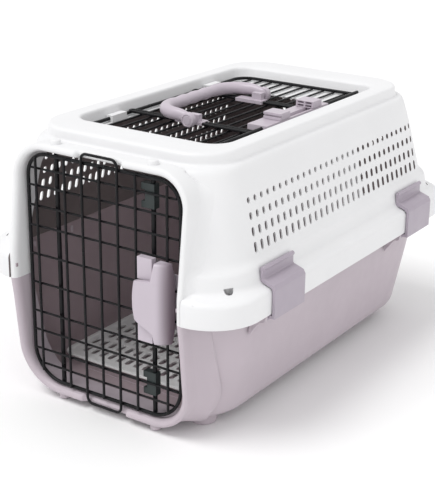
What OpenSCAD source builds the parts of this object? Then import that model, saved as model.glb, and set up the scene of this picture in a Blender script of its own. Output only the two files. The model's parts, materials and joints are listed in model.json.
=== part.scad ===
// Pet transport carrier: two moulded shells, wire front door, wire top door,
// folding carry handle, four side clips and a perforated floor mat.
// Origin at the middle of the floor contact; the front door faces -Y.

/* [Shells] */
// Length over the rim where the shells meet
flange_len = 524; // [440:2:640]
// Width over the rim where the shells meet
flange_w = 342; // [310:2:420]
// Height of the face where the two shells meet
parting_h = 158; // [140:1:190]
// Height of the raised top edge
shell_h = 304; // [280:1:360]
// Wall thickness of both shells
wall = 3; // [2.4:0.1:3.6]
// Height of the feet under the lower shell
foot_h = 14; // [11:0.5:17]
// Plan radius of the rim's corners
flange_r = 58; // [48:1:66]
// How far the upper shell's skirt hangs below the parting face
skirt_drop = 17; // [15:0.5:20]

/* [Front doorway] */
// Width of the front opening
doorway_w = 212; // [180:2:216]
// Height of the front opening
doorway_h = 268; // [230:1:270]
// Width of the raised collar around the opening
collar_w = 9; // [7:0.5:11]

/* [Top opening] */
// Width of the recess for the top door
recess_w = 191; // [160:1:196]
// Length of the recess for the top door
recess_len = 330; // [270:1:340]
// Depth of that recess
recess_d = 16; // [14:0.5:18]

/* [Vents] */
// Slots in one row of a side wall
vent_count = 31; // [20:1:31]
// Distance from slot to slot
vent_pitch = 12.2; // [9:0.1:12.4]
// Width of one slot
vent_w = 3.6; // [2.5:0.1:4.5]

/* [Wires] */
// Diameter of the doors' frame wire
frame_d = 4; // [3:0.1:4.4]
// Diameter of the door rods
rod_d = 5; // [4:0.1:6]
// Distance between the two door rods
rod_spacing = 127; // [110:1:140]
// Diameter of the front door's uprights
upright_d = 3; // [2.4:0.1:3.6]
// Diameter of the thin cross wires
thin_d = 2.5; // [2:0.1:3]

/* [Side clips] */
// Length of one side clip
clip_len = 60; // [44:1:70]
// Distance from the middle of the carrier to the middle of a clip
clip_y = 152; // [110:1:155]

/* [Handle] */
// Distance between the two pairs of cross wires that carry the handle
handle_span = 126; // [100:1:130]
// How far the handle sits in front of the top door's middle
handle_ahead = 10; // [0:1:14]
// Reach of the handle from its pivots to the grip
handle_reach = 48; // [40:1:52]
// Diameter of the grip
grip_d = 15; // [13:0.5:16]

/* [Hidden] */
$fn = 32;

white = [0.93, 0.93, 0.94];
lilac = [0.72, 0.66, 0.71];
pale_lilac = [0.84, 0.80, 0.86];
black = [0.06, 0.06, 0.07];
steel = [0.72, 0.73, 0.75];

run_gap = 0.06;      // radial clearance of a pin or rod that turns or slides
clear_gap = 0.3;     // gap between pieces that move past each other
weld_gap = 0.02;     // wires that are welded lie this close
rod_short = 3.6;     // how far a latch rod stops short of its socket
thin = 0.01;         // thickness of the slices that a wall is drawn between

flange = [flange_w / 2, flange_len / 2, flange_r];
skirt_z = parting_h - skirt_drop;
wall3 = [wall, wall, wall];
base_z = foot_h;
rim_fillet_z = foot_h + 9;

// Half width, half length and corner radius of the walls at their main heights
wall_low = flange - [37, 24, -12];
wall_foot = wall_low - [9, 9, 9];
wall_mid = flange - [19, 11, -12];
wall_step = flange - [24, 15, -9];
wall_high = flange - [37, 28, -2];
wall_top = flange - [47, 38, 5];
rim_out = flange - [52, 48, 12];
rim_top = rim_out - [3, 3, 3];
band_low = flange - [16, 9, -14];
band_high = flange - [22, 13.5, -11];
ledge_edge = flange - [2.5, 2.5, 2];
ledge_in = flange - [14.5, 8, -10];
shoulder_z = shell_h - 14;
high_z = shell_h - 42;
step_z = parting_h + 39;
ledge_z = parting_h + 14.5;

recess_z = shell_h - recess_d;
recess_low = [recess_w / 2, recess_len / 2, 21];
recess_high = recess_low + [3, 4, 2];
top_hole = [recess_low[0] - 9, recess_low[1] - 15, 16];
top_hole_rear = recess_low[1] - 53;

doorway_z = foot_h + wall;
doorway_top = doorway_z + doorway_h;
doorway_r_low = 42;
doorway_r_high = 30;
collar_end_y = flange[1] - 16;
collar_mid_y = flange[1] - 3;
collar_back = [[flange[1] - 60, doorway_top + collar_w], [flange[1] - 25, parting_h + 30],
               [flange[1] - 25, skirt_z], [flange[1] - 50, doorway_z + 20], [flange[1] - 50, 0]];
cut_depth = 64;
notch_half = 30;
notch_y = -(flange[1] - 20.06);
foot_r = 15;
boss_r = 7;

rod_r = rod_d / 2;
rod_x = rod_spacing / 2;
rod_y = -(flange[1] - 26);
frame_r = frame_d / 2;
upright_r = upright_d / 2;
thin_r = thin_d / 2;
frame_y = rod_y - rod_r - frame_r - weld_gap;
cross_y = frame_y - frame_r + thin_r;
upright_y = frame_y - frame_r - upright_r - weld_gap;
door_half = doorway_w / 2 - 6;
door_low = doorway_z + rod_short;
door_high = doorway_top - rod_short;
door_r_low = doorway_r_low - 4;
door_r_high = doorway_r_high - 4;
door_mid = (door_low + door_high) / 2;
upright_pitch = door_half / 4.3;
peg_r = 6;
peg_z = 0.8;
boss_top = doorway_top + collar_w + 5;
rod_end_gap = 1.2;
rod_seat = 2.4;

bolt = [flange[0] - 25.5, flange[1] - 38];
bolt_r = 2.4;
bolt_head_r = 4.4;
bolt_seat_z = parting_h + 9;
flange_t = 4;

clip_axis = [flange[0] - 8, skirt_z - 6];
clip_pin_r = 2.2;
clip_barrel_r = 3.5;
clip_ends = [clip_y - clip_len / 2, clip_y + clip_len / 2];
lug_t = 4.5;

frame_z = recess_z + frame_r + 1.5;
top_half = [recess_low[0] - 4, recess_low[1] - 5];
top_corner_r = 20;
hinge_clip_y = [-handle_ahead - handle_span / 2 - 28, -handle_ahead + handle_span / 2 + 37];
long_r = 1.2;
long_z = recess_z + long_r + 0.8;
long_pitch = top_half[0] / 5.98;
pair_r = 1.75;
pair_z = long_z + long_r + pair_r + weld_gap;
pair_y = handle_span / 2;
pair_half_gap = 3.2;

hub_r = 7;
hub_z = long_z + long_r + hub_r + 0.3;
hub_len = 9;
pivot_r = 2.4;
grip_r = grip_d / 2;
bracket_low = long_z + long_r + 0.1;
bracket_y = [pair_y - 8, pair_y + pair_half_gap + pair_r + 0.4];
bracket_step = pair_z + pair_r + 0.5;
hub_in = bracket_y[1] + clear_gap;
grip_x = -handle_reach;
grip_z = pair_z + pair_r + grip_r + 0.6;
bend_r = 32;
arm_y = hub_in + grip_r;

latch_travel = 8;
latch_mid = door_mid + 4;
cover_x = [rod_x - 13.5, rod_x + 39];
cover_front = -(flange[1] - 1);
cover_back = upright_y - upright_r - 0.4;
pad_out = 48;
pad_in = 22;
leg_r = 3;
latch_leg = 31;
spring_turns = 10;

tl_x = [recess_low[0] - 31, recess_low[0] - 6.4];
tl_rod_x = tl_x[0] + 18;
tl_rod_r = 2;
tl_low = bracket_low;
tl_rod_z = pair_z + pair_r + tl_rod_r + 0.5;
tl_top = tl_rod_z + tl_rod_r + 1.3;
tl_bar = [-68, 67];
tl_tabs = [[-39, -19], [31, 51]];
tl_foot = 4;
tl_rod_end = recess_low[1] - 15;
tl_slot = [tl_tabs[0][0] + tl_foot - 1, tl_tabs[1][1] - tl_foot + 1];

mat_z = doorway_z + 6;
mat_half = [wall_low[0] - 22, wall_low[1] - 52, 40];
mat_t = 3;

// Points of a rectangle with round corners, given its half width, half length and radius
function outline(s, n = 8) = [
  for (k = [0:3], i = [0:n])
    let (a = 90 * k + 90 * i / n,
         cx = (k == 0 || k == 3 ? 1 : -1) * (s[0] - s[2]),
         cy = (k < 2 ? 1 : -1) * (s[1] - s[2]))
    [cx + s[2] * cos(a), cy + s[2] * sin(a)]];

// Points of the doorway seen from the front, grown by g on every side
function doorway(g, n = 8) =
  let (w = doorway_w / 2 + g, lo = doorway_z - g, hi = doorway_top + g,
       rl = doorway_r_low + g, rh = doorway_r_high + g)
  concat(
    [for (i = [0:n]) let (a = 90 * i / n) [w - rh + rh * cos(a), hi - rh + rh * sin(a)]],
    [for (i = [0:n]) let (a = 90 + 90 * i / n) [-w + rh + rh * cos(a), hi - rh + rh * sin(a)]],
    [for (i = [0:n]) let (a = 180 + 90 * i / n) [-w + rl + rl * cos(a), lo + rl + rl * sin(a)]],
    [for (i = [0:n]) let (a = 270 + 90 * i / n) [w - rl + rl * cos(a), lo + rl + rl * sin(a)]]);

// A straight slab of an outline between two heights
module slab(s, z0, z1) translate([0, 0, z0]) linear_extrude(z1 - z0) polygon(outline(s));

// A wall form stretched over slices, each given as [outline, height]
module loft(slices) hull() for (s = slices) slab(s[0], s[1], s[1] + thin);

// A front outline carried along Y between two planes
module along_y(y0, y1) translate([0, y1, 0]) rotate([90, 0, 0]) linear_extrude(y1 - y0) children();

// A round bar from point a along one axis
module bar_x(x0, x1, y, z, r) translate([x0, y, z]) rotate([0, 90, 0]) cylinder(h = x1 - x0, r = r);
module bar_y(x, y0, y1, z, r) translate([x, y1, z]) rotate([90, 0, 0]) cylinder(h = y1 - y0, r = r);
module bar_z(x, y, z0, z1, r) translate([x, y, z0]) cylinder(h = z1 - z0, r = r);

// A block between two corners
module block(a, b) translate(a) cube(b - a);

// A closed wire frame in the XY plane, with corner radius rl at its -Y end and rh at its +Y end
module wire_ring(hx, hy, rl, rh, r) {
  for (k = [0:3])
    let (rc = (k < 2 ? rh : rl), sx = (k == 0 || k == 3 ? 1 : -1), sy = (k < 2 ? 1 : -1))
      translate([sx * (hx - rc), sy * (hy - rc), 0]) rotate([0, 0, 90 * k])
        rotate_extrude(angle = 90) translate([rc, 0]) circle(r = r);
  bar_x(-(hx - rh), hx - rh, hy, 0, r);
  bar_x(-(hx - rl), hx - rl, -hy, 0, r);
  for (s = [-1, 1]) bar_y(s * hx, -(hy - rl), hy - rh, 0, r);
}

// Half length left inside a wire frame at distance d from its middle line, where the frame has
// half length h, half width w and corner radius rc, and the wire that ends there has radius r
function inside_frame(h, w, rc, d, r) =
  let (over = max(0, abs(d) + r - (w - rc)), reach = rc - frame_r - weld_gap)
  h - rc + sqrt(max(0, reach * reach - over * over));

// The raised collar around the doorway between two heights
module collar(z0, z1) {
  reach = doorway_w / 2 + collar_w;
  difference() {
    intersection() {
      along_y(-flange[1], -flange[1] + cut_depth) difference() {
        polygon(doorway(collar_w));
        polygon(doorway(0));
      }
      translate([-reach, 0, 0]) rotate([90, 0, 90]) linear_extrude(2 * reach) polygon(concat(
        [[-collar_end_y, 0], [-collar_end_y, doorway_z - collar_w], [-collar_mid_y, skirt_z],
         [-collar_mid_y, bolt_seat_z], [-collar_end_y, doorway_top + collar_w]],
        [for (p = collar_back) [-p[0], p[1]]]));
      block([-reach, -flange[1], z0], [reach, 0, z1]);
    }
    for (z = [doorway_z - collar_w - 1, doorway_top - 1])
      block([-notch_half, -flange[1] - 1, z], [notch_half, notch_y, z + collar_w + 2]);
  }
}

// Everything in front of the cabin that the doorway takes out, grown by g for the collar's seat
module doorway_cut(g) along_y(-flange[1] - 1, -flange[1] + cut_depth) polygon(doorway(g));

module at_corners(p) for (sx = [-1, 1], sy = [-1, 1]) translate([sx * p[0], sy * p[1], 0]) children();

// Lugs under the flange that hold the clips' pins
module clip_lugs() {
  root_x = wall_mid[0] - wall - 2;
  for (sx = [-1, 1], y0 = [clip_ends[0] - clear_gap - lug_t, clip_ends[1] + clear_gap], sy = [-1, 1])
    along_y(sy > 0 ? y0 : -y0 - lug_t, sy > 0 ? y0 + lug_t : -y0) polygon([
      [sx * root_x, parting_h - flange_t], [sx * (flange[0] - 4), parting_h - flange_t],
      [sx * (clip_axis[0] + 4), clip_axis[1] + 2], [sx * (clip_axis[0] + 2), clip_axis[1] - 4],
      [sx * (clip_axis[0] - 3), clip_axis[1] - 4], [sx * root_x, clip_axis[1] - 22]]);
}

module lower_shell() color(lilac) difference() {
  union() {
    difference() {
      union() {
        loft([[wall_foot, base_z], [wall_low, rim_fillet_z], [wall_mid, parting_h - thin]]);
        slab(flange - wall3 - [0.4, 0.4, 0.4], parting_h - flange_t, parting_h);
        clip_lugs();
        at_corners(bolt) bar_z(0, 0, parting_h - flange_t - 3, parting_h, boss_r);
      }
      loft([[wall_foot - wall3, base_z + wall], [wall_low - wall3, rim_fillet_z + wall],
            [wall_mid - wall3, parting_h + 1]]);
    }
    at_corners([wall_low[0] - 42, wall_low[1] - 50]) bar_z(0, 0, 0, base_z + 1, foot_r);
  }
  intersection() {
    doorway_cut(collar_w);
    block([-flange[0], -flange[1] - 1, 0], [flange[0], 0, skirt_z]);
  }
  doorway_cut(0);
  intersection() {
    along_y(-flange[1] - 1, -collar_back[2][0] + clear_gap) polygon(doorway(collar_w + clear_gap));
    block([-flange[0], -flange[1] - 1, skirt_z], [flange[0], 0, parting_h + 2]);
  }
  for (s = [-1, 1]) bar_y(s * clip_axis[0], -flange[1], flange[1], clip_axis[1], clip_pin_r + run_gap);
  at_corners(bolt) bar_z(0, 0, parting_h - 9, parting_h + 1, bolt_r + 0.2);
}

// Lower part of the doorway's collar, with a peg under each rod that takes the rod's end
module lower_collar() color(lilac) difference() {
  union() {
    collar(0, skirt_z);
    for (s = [-1, 1]) bar_z(s * rod_x, rod_y, peg_z, doorway_z - 1, peg_r);
  }
  for (s = [-1, 1]) bar_z(s * rod_x, rod_y, peg_z + rod_seat, doorway_z + 1, rod_r + run_gap);
}

// Slots in both side walls and in the rear wall
module vent_slots() {
  rows = [[0, 11.5], [16, 10], [32, 8.2], [48, 6.6]];
  row_z = parting_h + 48;
  translate([-flange[0], 0, 0]) rotate([90, 0, 90]) linear_extrude(flange_w)
    for (r = rows, i = [0:vent_count - 1])
      translate([9 + (i - (vent_count - 1) / 2) * vent_pitch - vent_w / 2, row_z + r[0] - r[1] / 2])
        square([vent_w, r[1]]);
  along_y(flange[1] - 60, flange[1])
    for (r = rows, i = [-6:6])
      translate([i * vent_pitch - vent_w / 2, row_z + r[0] - r[1] / 2]) square([vent_w, r[1]]);
}

module upper_shell() color(white) difference() {
  union() {
    difference() {
      union() {
        slab(flange, skirt_z, parting_h + thin);
        loft([[flange, parting_h], [flange, parting_h + 7.5],
              [ledge_edge, parting_h + 10.5], [ledge_in, ledge_z]]);
        loft([[band_low, parting_h], [band_high, parting_h + 30], [wall_step, step_z - 2]]);
        loft([[wall_mid, parting_h], [wall_step, step_z], [wall_high, high_z], [wall_top, shoulder_z]]);
        loft([[rim_out, shoulder_z - 6], [rim_out, shell_h - 4], [rim_top, shell_h - thin]]);
      }
      slab(flange - wall3, skirt_z - 1, parting_h);
      difference() {
        slab(flange - wall3, parting_h - 1, parting_h + 4.5);
        slab(wall_mid + [4, 4, 4], parting_h - 2, parting_h + 5);
      }
      difference() {
        union() {
          loft([[wall_mid - wall3, parting_h - 1], [wall_step - wall3, step_z],
                [wall_high - wall3, high_z], [wall_top - wall3, shoulder_z - wall]]);
          slab(rim_out - wall3, shoulder_z - wall - 5, shell_h - wall);
        }
        loft([[recess_low + wall3, recess_z - wall], [recess_high + wall3, shell_h]]);
      }
    }
    at_corners(bolt) bar_z(0, 0, parting_h, bolt_seat_z - 0.1, boss_r);
  }
  loft([[recess_low, recess_z], [recess_high, shell_h]]);
  translate([0, (top_hole_rear - top_hole[1]) / 2, 0])
    slab([top_hole[0], (top_hole_rear + top_hole[1]) / 2, top_hole[2]], recess_z - wall - 2, recess_z + 1);
  doorway_cut(collar_w);
  vent_slots();
  for (s = [-1, 1])
    bar_y(tl_rod_x, s * (recess_low[1] + 7) - 8, s * (recess_low[1] + 7) + 8, tl_rod_z, tl_rod_r + 0.3);
  at_corners(bolt) {
    bar_z(0, 0, parting_h - 1, bolt_seat_z + 1, bolt_r + 0.2);
    bar_z(0, 0, bolt_seat_z, bolt_seat_z + 14, bolt_head_r + 1);
  }
}

// Upper part of the doorway's collar, with a boss over each rod that takes the rod's end
module upper_collar() color(white) difference() {
  union() {
    collar(skirt_z, boss_top);
    for (s = [-1, 1]) bar_z(s * rod_x, rod_y, doorway_top, boss_top, peg_r - 0.5);
  }
  for (s = [-1, 1]) bar_z(s * rod_x, rod_y, doorway_top - 1, boss_top - rod_seat, rod_r + run_gap);
}

module corner_bolts() color(steel) at_corners(bolt) difference() {
  union() {
    bar_z(0, 0, skirt_z - 2, bolt_seat_z + 1, bolt_r);
    bar_z(0, 0, bolt_seat_z, bolt_seat_z + 2.2, bolt_head_r);
  }
  for (a = [0, 90]) rotate([0, 0, a])
    block([-2.4, -0.45, bolt_seat_z + 0.9], [2.4, 0.45, bolt_seat_z + 3]);
}

module corner_nuts() color(steel) at_corners(bolt) difference() {
  translate([0, 0, parting_h - flange_t - 3 - 3.4]) cylinder(h = 3.4, r = 4.6, $fn = 6);
  bar_z(0, 0, skirt_z, parting_h, bolt_r + 0.03);
}

module top_hinge_clips() color(white) for (s = [-1, 1]) difference() {
  y = s > 0 ? hinge_clip_y[1] : hinge_clip_y[0];
  block([-top_half[0] - 3.6, y - 13, recess_z], [-top_half[0] + 5, y + 13, frame_z + frame_r + 2]);
  bar_y(-top_half[0], y - 14, y + 14, frame_z, frame_r + run_gap);
}

module floor_mat() color([0.82, 0.83, 0.84]) {
  pitch = [mat_half[0] / 9, mat_half[1] / 8];
  bend = [mat_half[0] - mat_half[2], mat_half[1] - mat_half[2]];
  translate([0, 0, mat_z]) linear_extrude(mat_t) difference() {
    polygon(outline(mat_half));
    for (i = [-8:8], j = [-7:7]) {
      p = [(i + (j % 2 == 0 ? 0.25 : -0.25)) * pitch[0], j * pitch[1]];
      past = norm([max(abs(p[0]) - bend[0], 0), max(abs(p[1]) - bend[1], 0)]);
      if (past < 27 && abs(p[0]) < mat_half[0] - 11) translate(p) square([6.2, 17.5], center = true);
    }
  }
  for (s = [-1, 1])
    block([s * mat_half[0] * 0.5 - 3, -mat_half[1] + 45, doorway_z + clear_gap],
          [s * mat_half[0] * 0.5 + 3, mat_half[1] - 45, mat_z]);
}

// One side clip: barrel, plate over the skirt and lip over the ledge, in the +X, +Y corner
module side_clip_shape() {
  px = flange[0] + 0.6;
  out = px + 3.4;
  z0 = skirt_z - 5;
  translate([0, clip_ends[1], 0]) rotate([90, 0, 0]) linear_extrude(clip_len) polygon([
    [clip_axis[0], z0], [out, z0], [out, parting_h + 10], [out - 2.5, parting_h + 14.5],
    [ledge_in[0] + 4, ledge_z + 4.1], [ledge_in[0] + 3.1, ledge_z + 5.5], [ledge_in[0] + 3.1, ledge_z + 15],
    [ledge_in[0] + 0.1, ledge_z + 15], [ledge_in[0] + 0.1, ledge_z + 2.5], [ledge_in[0] + 1.1, ledge_z + 1.1],
    [ledge_edge[0] + 0.5, parting_h + 11.6], [px, parting_h + 9.2],
    [px, skirt_z - 1.5], [clip_axis[0], skirt_z - 1.5]]);
  bar_y(ledge_in[0] + 2.1, clip_ends[0], clip_ends[1], ledge_z + 15, 2.4);
  bar_y(clip_axis[0], clip_ends[0], clip_ends[1], clip_axis[1], clip_barrel_r);
  bar_y(clip_axis[0], clip_ends[0] - lug_t, clip_ends[1] + lug_t, clip_axis[1], clip_pin_r);
}
module side_clip(sx, sy) color([0.66, 0.62, 0.69])
  mirror([sx < 0 ? 1 : 0, 0, 0]) mirror([0, sy < 0 ? 1 : 0, 0]) side_clip_shape();
module side_clip_front_right() side_clip(1, -1);
module side_clip_rear_right() side_clip(1, 1);
module side_clip_front_left() side_clip(-1, -1);
module side_clip_rear_left() side_clip(-1, 1);

module door_frame_wire() color(black)
  translate([0, frame_y, door_mid]) rotate([90, 0, 0])
    wire_ring(door_half, (door_high - door_low) / 2, door_r_low, door_r_high, frame_r);

module door_upright_wires() color(black) {
  h = (door_high - door_low) / 2;
  for (x = [-door_half + 14, -2 * upright_pitch, 0, 2 * upright_pitch, door_half - 14])
    bar_z(x, upright_y, door_mid - inside_frame(h, door_half, door_r_low, x, upright_r) - frame_r,
          door_mid + inside_frame(h, door_half, door_r_high, x, upright_r) + frame_r, upright_r);
}

cross_steps = [0.063, 0.137, 0.223, 0.311, 0.436, 0.563, 0.694, 0.78, 0.866, 0.932];
module door_cross_wires() color(black) {
  h = (door_high - door_low) / 2;
  for (s = cross_steps) {
    up = h - s * 2 * h;
    reach = inside_frame(door_half, h, up < 0 ? door_r_low : door_r_high, up, thin_r);
    bar_x(-reach, reach, cross_y, door_mid + up, thin_r);
  }
}

module door_stop_loop() color(black)
  translate([0, upright_y, door_mid]) rotate([90, 0, 0])
    wire_ring(upright_pitch, (door_high - door_low) / 2 + 11, 7, 7, upright_r);

module door_hinge_rod() color(black)
  bar_z(-rod_x, rod_y, peg_z + rod_seat + rod_end_gap, boss_top - rod_seat - rod_end_gap, rod_r);

guide_back = rod_y + rod_r + 2;
module door_rod_guides() color([0.13, 0.17, 0.17])
  for (z = [door_high - 20, door_low + 34]) difference() {
    block([rod_x - 12.5, cross_y + thin_r + weld_gap, z - 13], [rod_x + 3.8, guide_back, z + 13]);
    bar_z(rod_x, rod_y, z - 14, z + 14, rod_r + run_gap);
    block([rod_x - 13, frame_y, z - 6], [rod_x - 8, guide_back + 1, z + 6]);
  }

// Front latch: a bowed cover over two finger tabs; each tab moves its own rod
module door_latch_cover() color(pale_lilac) {
  x0 = cover_x[0];
  x1 = cover_x[1];
  mid_x = (x0 + x1) / 2;
  front_pts = [[x0, -28], [x0 - 2, 0], [x0, 28], [x0 + 22, 34], [x0 + 27, 46], [x1 - 3, 46],
               [x1, 30], [x1, -30], [x1 - 3, -46], [x0 + 27, -46], [x0 + 22, -34]];
  inner_pts = [for (p = front_pts) [mid_x + (p[0] - mid_x) * 0.88, p[1] * 0.93]];
  translate([0, 0, latch_mid]) difference() {
    union() {
      along_y(cover_front + 4, cover_back) polygon(front_pts);
      along_y(cover_front, cover_front + 4) polygon([for (p = front_pts) [p[0] * 0.9 + 7, p[1] * 0.96]]);
    }
    along_y(cover_front + 7, cover_back + 1) polygon(inner_pts);
    for (z = [-50, 20]) block([x0 + 4, cover_front + 6, z], [x0 + 24.5, cover_back + 1, z + 30]);
  }
}

// Plate behind the wires that the cover is screwed to, with the springs' middle seat
module door_latch_carrier() color(pale_lilac) {
  back = cross_y + thin_r + weld_gap;
  plate_t = 2.2;
  plate_x = [cover_x[0] + 2, door_half - frame_r - clear_gap];
  bridge_y = [rod_y + 3, rod_y + 5];
  difference() {
    block([plate_x[0], back, latch_mid - 30], [plate_x[1], back + plate_t, latch_mid + 30]);
    block([rod_x - rod_r - 2.5, back - 1, latch_mid - 50], [rod_x + rod_r + 2.5, back + 3, latch_mid + 50]);
  }
  for (s = [-1, 1])
    block([rod_x + s * 6 - 1, back + plate_t, latch_mid - 3],
          [rod_x + s * 6 + 1, bridge_y[1], latch_mid + 3]);
  block([rod_x - 7, bridge_y[0], latch_mid - 3], [rod_x + 7, bridge_y[1], latch_mid + 3]);
  block([rod_x - 7, rod_y - 2.3, latch_mid - 1.5], [rod_x + 7, rod_y + 5, latch_mid + 1.5]);
}

// A finger tab with the leg that reaches its rod through the wires
module latch_tab(s) color(pale_lilac) {
  translate([0, 0, latch_mid]) {
    block([cover_x[0] + 5, cover_front + 7.5, s > 0 ? pad_in : -pad_out + latch_travel / 4],
          [cover_x[0] + 23.5, cover_back, s > 0 ? pad_out - latch_travel / 4 : -pad_in]);
    difference() {
      block([rod_x - leg_r, cover_back - 2, s > 0 ? latch_leg : -latch_leg - 7],
            [rod_x + leg_r, rod_y + leg_r, s > 0 ? latch_leg + 7 : -latch_leg]);
      bar_z(rod_x, rod_y, -latch_leg - 8, latch_leg + 8, rod_r);
    }
  }
}
module door_latch_upper_tab() latch_tab(1);
module door_latch_lower_tab() latch_tab(-1);
module door_latch_upper_rod() color(black)
  bar_z(rod_x, rod_y, latch_mid + latch_leg, doorway_top - rod_short, rod_r);
module door_latch_lower_rod() color(black)
  bar_z(rod_x, rod_y, doorway_z + rod_short, latch_mid - latch_leg, rod_r);

// Coil spring drawn as rings between the middle seat and a rod's end
module latch_spring(s) color(steel) {
  z0 = 2.2;
  z1 = latch_leg - 1;
  for (i = [0:spring_turns - 1])
    translate([rod_x, rod_y, latch_mid + s * (z0 + (i + 0.5) * (z1 - z0) / spring_turns)])
    rotate_extrude() translate([1.5, 0]) circle(r = 0.4);
}
module door_latch_upper_spring() latch_spring(1);
module door_latch_lower_spring() latch_spring(-1);

module top_frame_wire() color(black) translate([0, 0, frame_z])
  wire_ring(top_half[0], top_half[1], top_corner_r, top_corner_r, frame_r);

module top_long_wires() color(black) for (i = [-5:5]) {
  reach = inside_frame(top_half[1], top_half[0], top_corner_r, i * long_pitch, long_r);
  bar_y(i * long_pitch, -reach, reach, long_z, long_r);
}

module top_cross_wires() color(black) for (s = [-1, 1], e = [-1, 1])
  bar_x(-top_half[0] + frame_r, top_half[0] - frame_r,
        s * pair_y + e * pair_half_gap - handle_ahead, pair_z, pair_r);

// Low base around the cross wires with a tower that holds the handle's pivot
module handle_brackets() color(pale_lilac) translate([0, -handle_ahead, 0]) for (s = [-1, 1]) difference() {
  y = s > 0 ? bracket_y : [-bracket_y[1], -bracket_y[0]];
  union() {
    block([-26, y[0], bracket_low], [11, y[1], bracket_step]);
    block([-6.5, y[0] + (s > 0 ? 6 : 0), bracket_low], [6.5, y[1] - (s > 0 ? 0 : 6), hub_z + 4.5]);
  }
  for (e = [-1, 1]) bar_x(-27, 15, s * pair_y + e * pair_half_gap, pair_z, pair_r + weld_gap);
  bar_y(0, y[0] - 1, y[1] + 1, hub_z, pivot_r + run_gap);
}

module top_latch_base() color(pale_lilac) difference() {
  block([tl_x[0], tl_bar[0], tl_low], [tl_x[1], tl_bar[1], tl_top]);
  for (e = [-1, 1])
    bar_x(tl_x[0] - 1, tl_x[1] + 1, pair_y + e * pair_half_gap - handle_ahead, pair_z, pair_r + weld_gap);
  bar_y(tl_rod_x, tl_bar[0] - 1, tl_bar[1] + 1, tl_rod_z, tl_rod_r + run_gap);
  block([tl_rod_x - 4, tl_slot[0], tl_rod_z - tl_rod_r - 1], [tl_rod_x + 4, tl_slot[1], tl_top + 1]);
}

// A finger tab on the bar, with a foot in the bar's slot that carries its rod
module top_latch_tab(y) color(pale_lilac) difference() {
  union() {
    block([tl_x[0] + 2, y[0], tl_top + clear_gap], [tl_x[1], y[1], tl_top + 8]);
    block([tl_rod_x - 3.5, y[0] + tl_foot, tl_rod_z - tl_rod_r - 0.5],
          [tl_rod_x + 3.5, y[1] - tl_foot, tl_top + 1]);
  }
  bar_y(tl_rod_x, y[0], y[1], tl_rod_z, tl_rod_r);
}
module top_latch_front_tab() top_latch_tab(tl_tabs[0]);
module top_latch_rear_tab() top_latch_tab(tl_tabs[1]);
module top_latch_front_rod() color(steel)
  bar_y(tl_rod_x, -tl_rod_end, tl_tabs[0][1] - tl_foot, tl_rod_z, tl_rod_r);
module top_latch_rear_rod() color(steel)
  bar_y(tl_rod_x, tl_tabs[1][0] + tl_foot, tl_rod_end, tl_rod_z, tl_rod_r);

// Grip with a round bend at each end, an arm to each hub and a bore for each pivot pin
module carry_handle() color(pale_lilac) translate([0, -handle_ahead, 0]) difference() {
  union() {
    bar_y(grip_x, -arm_y + bend_r, arm_y - bend_r, grip_z, grip_r);
    for (s = [-1, 1]) {
      translate([grip_x + bend_r, s * (arm_y - bend_r), grip_z]) rotate([0, 0, s > 0 ? 90 : 180])
        rotate_extrude(angle = 90) translate([bend_r, 0]) circle(r = grip_r);
      bar_x(grip_x + bend_r, 3, s * arm_y, grip_z, grip_r);
      bar_y(0, s > 0 ? hub_in : -hub_in - hub_len, s > 0 ? hub_in + hub_len : -hub_in, hub_z, hub_r);
    }
  }
  for (y = [hub_in - 1, -hub_in - hub_len + 2]) bar_y(0, y, y + hub_len - 1, hub_z, pivot_r);
}

module handle_pivot_pins() color(pale_lilac) translate([0, -handle_ahead, 0]) {
  pin_y = [bracket_y[0] + 6, hub_in + hub_len - 2];
  bar_y(0, pin_y[0], pin_y[1], hub_z, pivot_r);
  bar_y(0, -pin_y[1], -pin_y[0], hub_z, pivot_r);
}

lower_shell();
lower_collar();
upper_shell();
upper_collar();
corner_bolts();
corner_nuts();
top_hinge_clips();
floor_mat();
side_clip_front_right();
side_clip_rear_right();
side_clip_front_left();
side_clip_rear_left();
door_frame_wire();
door_upright_wires();
door_cross_wires();
door_stop_loop();
door_hinge_rod();
door_rod_guides();
door_latch_cover();
door_latch_carrier();
door_latch_upper_tab();
door_latch_upper_rod();
door_latch_upper_spring();
door_latch_lower_tab();
door_latch_lower_rod();
door_latch_lower_spring();
top_frame_wire();
top_long_wires();
top_cross_wires();
handle_brackets();
top_latch_base();
top_latch_front_tab();
top_latch_front_rod();
top_latch_rear_tab();
top_latch_rear_rod();
carry_handle();
handle_pivot_pins();
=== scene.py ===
"""Looks of a pet transport carrier: two moulded shells, a wire front door, a wire top door, a carry
handle, four side clips and a floor mat. Lengths in this script are millimetres until a mesh is made."""

import json
import math

import bmesh
import bpy
import numpy as np
from mathutils import Matrix, Vector

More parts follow.
